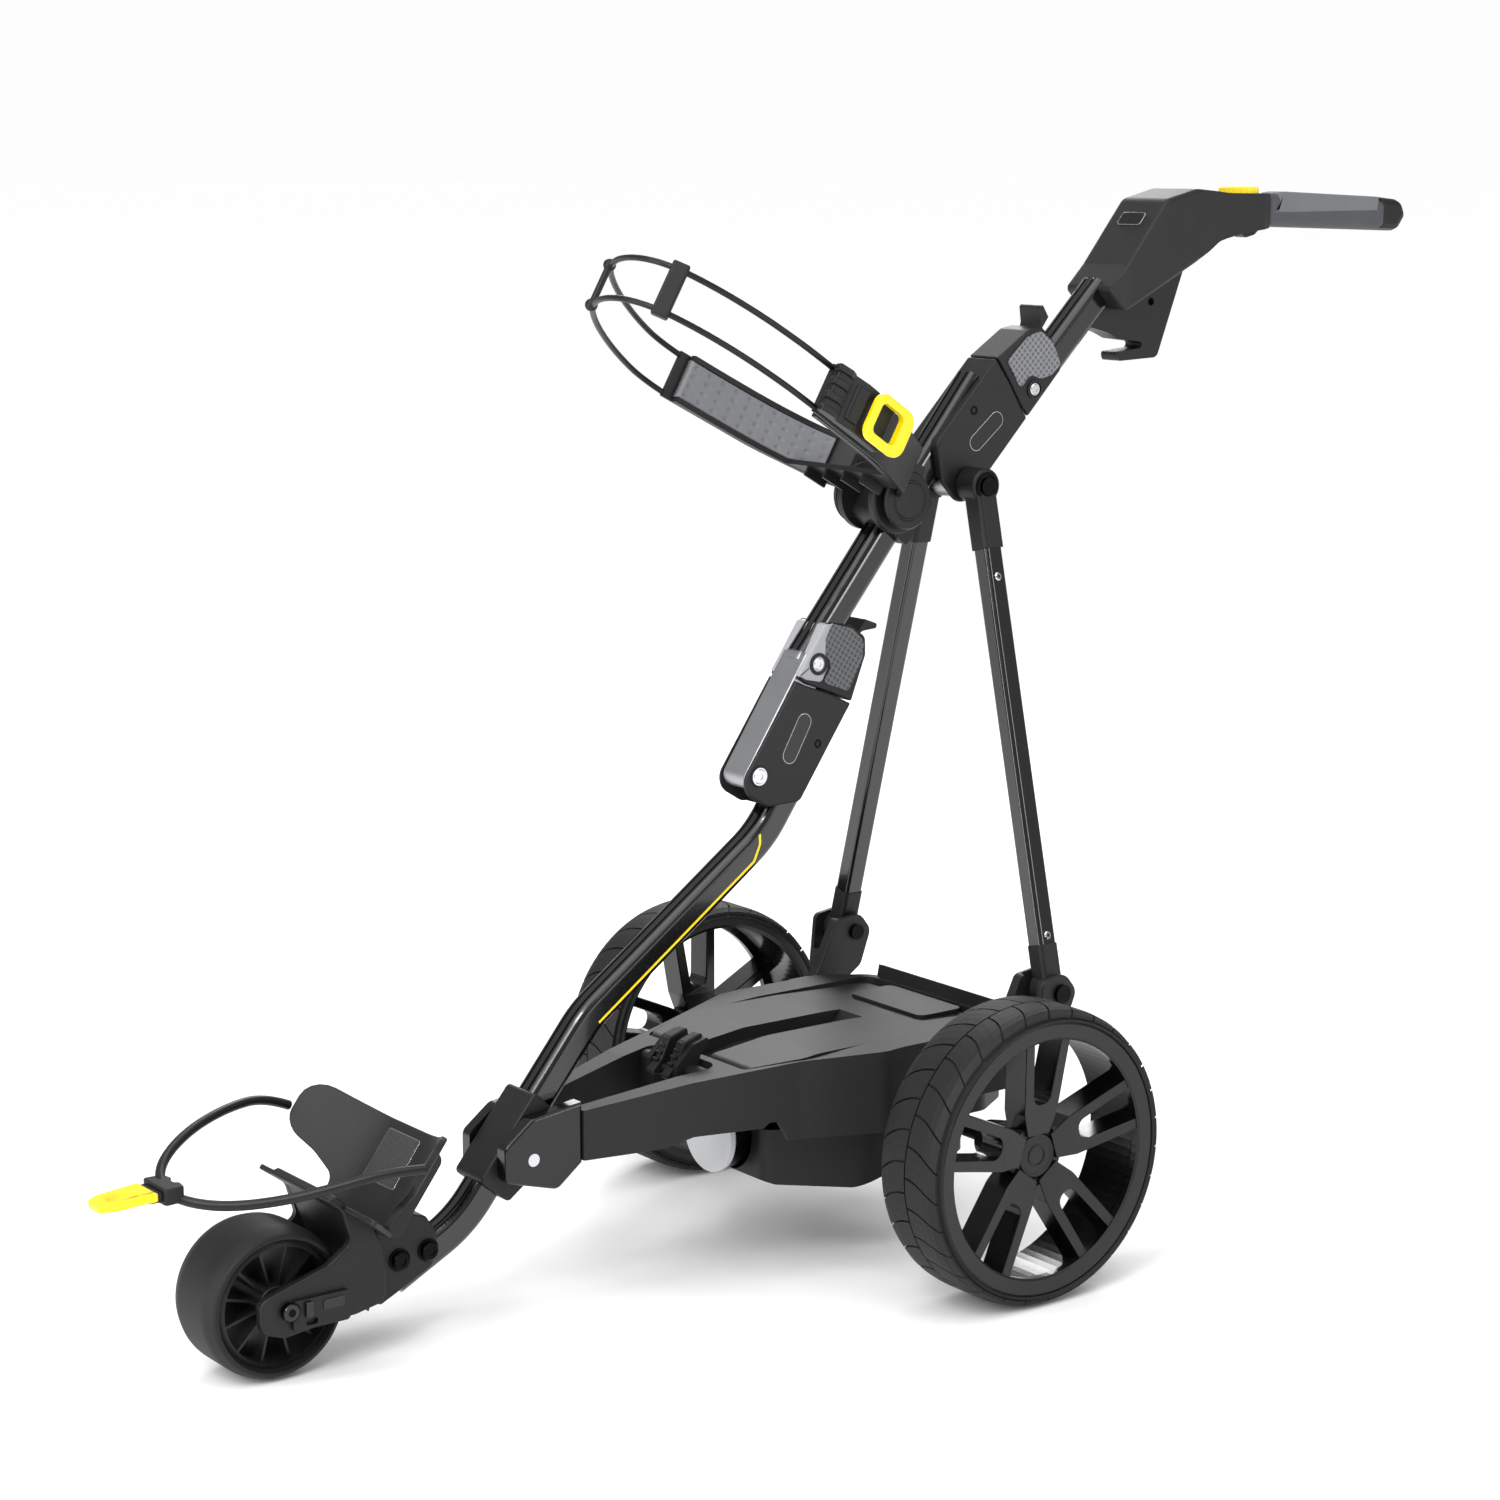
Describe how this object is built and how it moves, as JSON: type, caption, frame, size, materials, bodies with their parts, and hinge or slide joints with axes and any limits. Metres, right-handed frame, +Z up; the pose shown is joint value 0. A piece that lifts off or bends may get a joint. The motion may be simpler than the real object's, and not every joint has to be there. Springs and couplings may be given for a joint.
{
  "type": "electric golf trolley",
  "caption": "Folding electric push trolley for a golf bag: one-tube frame, two struts, battery on a wheeled chassis, bag cradle and a single handle.",
  "frame": {"origin": "on the floor under the middle of the trolley's length, in its centre plane", "axes": "+X from the front wheel to the handle, +Y across the trolley, +Z up"},
  "size_m": [1.5562, 0.5908, 1.0113],
  "materials": {
    "gloss_tube": "gloss black powder coat",
    "moulded_black": "satin moulded",
    "tyre_rubber": "matte",
    "rim_grey": "satin charcoal",
    "bright_steel": "polished",
    "dark_steel": "blackened",
    "gear_steel": "machined",
    "cast_aluminium": "bead blasted",
    "pad_rubber": "dimpled",
    "cord_rubber": "satin",
    "yellow_plastic": "satin",
    "grip_rubber": "textured",
    "battery_shell": "fine textured",
    "board_green": "coated"
  },
  "bodies": {
    "frame": {"main_tube": "gloss_tube", "front_bracket": "moulded_black", "bracket_bolts": "dark_steel", "front_axle": "dark_steel", "axle_adjusters": "moulded_black", "bag_rest": "moulded_black", "bag_rest_strap": "cord_rubber", "strap_hook_and_clip": "moulded_black", "tube_clamp": "moulded_black", "lower_hinge_housing": "moulded_black", "frame_hinge_pins": "bright_steel"},
    "chassis": {"chassis_tray": "moulded_black", "chassis_belly": "moulded_black", "pivot_covers": "moulded_black", "motor_can": "dark_steel", "motor_cap": "bright_steel", "gearbox_case": "cast_aluminium", "axle_bearings": "gear_steel", "strut_brackets": "moulded_black", "strut_foot_bolts": "dark_steel"},
    "battery": {"battery_pack": "battery_shell"},
    "battery_catch": {"battery_catch": "moulded_black"},
    "drive_axle": {"drive_axle": "dark_steel", "axle_gear": "gear_steel"},
    "counter_shaft": {"counter_shaft": "gear_steel"},
    "motor_rotor": {"motor_shaft": "gear_steel"},
    "left_wheel": {"left_tyre": "tyre_rubber", "left_rim": "rim_grey"},
    "right_wheel": {"right_tyre": "tyre_rubber", "right_rim": "rim_grey"},
    "front_wheel": {"front_tyre": "tyre_rubber", "front_rim": "rim_grey", "front_bearings": "gear_steel"},
    "struts": {"struts": "gloss_tube", "strut_fittings": "moulded_black", "strut_head_bolts": "dark_steel"},
    "middle": {"middle_foot": "cast_aluminium", "middle_tube": "gloss_tube", "upper_hinge_housing": "moulded_black", "middle_hinge_pins": "bright_steel", "bag_clamp": "moulded_black"},
    "lower_latch": {"lower_latch_lever": "moulded_black", "lower_latch_pads": "pad_rubber"},
    "upper_latch": {"upper_latch_lever": "moulded_black", "upper_latch_pads": "pad_rubber"},
    "bag_cradle": {"bag_arms": "moulded_black", "bag_pads": "pad_rubber", "bag_cords": "cord_rubber", "cord_clips": "moulded_black", "bag_buckle": "moulded_black"},
    "buckle_ring": {"buckle_ring": "yellow_plastic"},
    "handle": {"handle_foot": "cast_aluminium", "handle_tube": "gloss_tube", "handle_shell": "moulded_black", "control_board": "board_green", "grip": "grip_rubber", "accessory_bracket": "moulded_black", "upper_latch_pin": "bright_steel"},
    "speed_dial": {"speed_dial": "yellow_plastic"},
    "trigger": {"trigger": "moulded_black"}
  },
  "joints": [
    {"name": "tube_fold", "type": "hinge", "parent": "frame", "child": "middle", "pos_m": [-0.13601, 0, 0.47008], "axis": [0, -1, 0], "range_deg": [0, 45]},
    {"name": "chassis_fold", "type": "hinge", "parent": "frame", "child": "chassis", "pos_m": [-0.403, 0, 0.15], "axis": [0, -1, 0], "range_deg": [0, 17.27]},
    {"name": "strut_fold", "type": "hinge", "parent": "chassis", "child": "struts", "pos_m": [0.1075, 0, 0.255], "axis": [0, -1, 0], "range_deg": [0, 8.75]},
    {"name": "handle_fold", "type": "hinge", "parent": "middle", "child": "handle", "pos_m": [0.11605, 0, 0.72989], "axis": [0, 1, 0], "range_deg": [0, 100]},
    {"name": "lower_latch_turn", "type": "hinge", "parent": "middle", "child": "lower_latch", "pos_m": [-0.06674, 0, 0.5705], "axis": [0, -1, 0], "range_deg": [0, 8], "stiffness_Nm_per_rad": 1, "springref_deg": -11.46},
    {"name": "upper_latch_turn", "type": "hinge", "parent": "handle", "child": "upper_latch", "pos_m": [0.2008, 0, 0.81764], "axis": [0, 1, 0], "range_deg": [0, 8], "stiffness_Nm_per_rad": 1, "springref_deg": -11.46},
    {"name": "cradle_fold", "type": "hinge", "parent": "middle", "child": "bag_cradle", "pos_m": [0.02705, 0, 0.72093], "axis": [0, 1, 0], "range_deg": [0, 60]},
    {"name": "ring_turn", "type": "hinge", "parent": "bag_cradle", "child": "buckle_ring", "pos_m": [-0.05276, -0.12855, 0.79105], "axis": [0.5, 0, 0.866], "range_deg": [0, 80]},
    {"name": "dial_turn", "type": "hinge", "parent": "handle", "child": "speed_dial", "pos_m": [0.49605, 0, 1.00089], "axis": [0, 0, 1], "continuous": true},
    {"name": "trigger_squeeze", "type": "hinge", "parent": "handle", "child": "trigger", "pos_m": [0.52005, 0, 0.97389], "axis": [0, 1, 0], "range_deg": [0, 4.5], "stiffness_Nm_per_rad": 0.4, "springref_deg": -8.59},
    {"name": "battery_lift", "type": "slide", "parent": "chassis", "child": "battery", "axis": [0, 0, 1], "range_m": [0, 0.05]},
    {"name": "catch_turn", "type": "hinge", "parent": "chassis", "child": "battery_catch", "pos_m": [-0.218, 0, 0.198], "axis": [0, -1, 0], "range_deg": [0, 80]},
    {"name": "axle_spin", "type": "hinge", "parent": "chassis", "child": "drive_axle", "pos_m": [-0.008, 0, 0.14], "axis": [0, 1, 0], "continuous": true},
    {"name": "counter_spin", "type": "hinge", "parent": "chassis", "child": "counter_shaft", "pos_m": [-0.0275, 0, 0.14], "axis": [1, 0, 0], "continuous": true},
    {"name": "motor_spin", "type": "hinge", "parent": "chassis", "child": "motor_rotor", "pos_m": [-0.0275, 0, 0.126], "axis": [1, 0, 0], "continuous": true},
    {"name": "left_wheel_spin", "type": "hinge", "parent": "drive_axle", "child": "left_wheel", "pos_m": [-0.008, 0, 0.14], "axis": [0, 1, 0], "continuous": true},
    {"name": "right_wheel_spin", "type": "hinge", "parent": "drive_axle", "child": "right_wheel", "pos_m": [-0.008, 0, 0.14], "axis": [0, 1, 0], "continuous": true},
    {"name": "front_wheel_spin", "type": "hinge", "parent": "frame", "child": "front_wheel", "pos_m": [-0.664, 0, 0.068], "axis": [0, 1, 0], "continuous": true}
  ],
  "couplings": [
    {"joint": "chassis_fold", "follows": "tube_fold", "ratio": 0.3771},
    {"joint": "strut_fold", "follows": "tube_fold", "ratio": 0.1877},
    {"joint": "counter_spin", "follows": "axle_spin", "ratio": -3},
    {"joint": "motor_spin", "follows": "axle_spin", "ratio": 5.4}
  ]
}
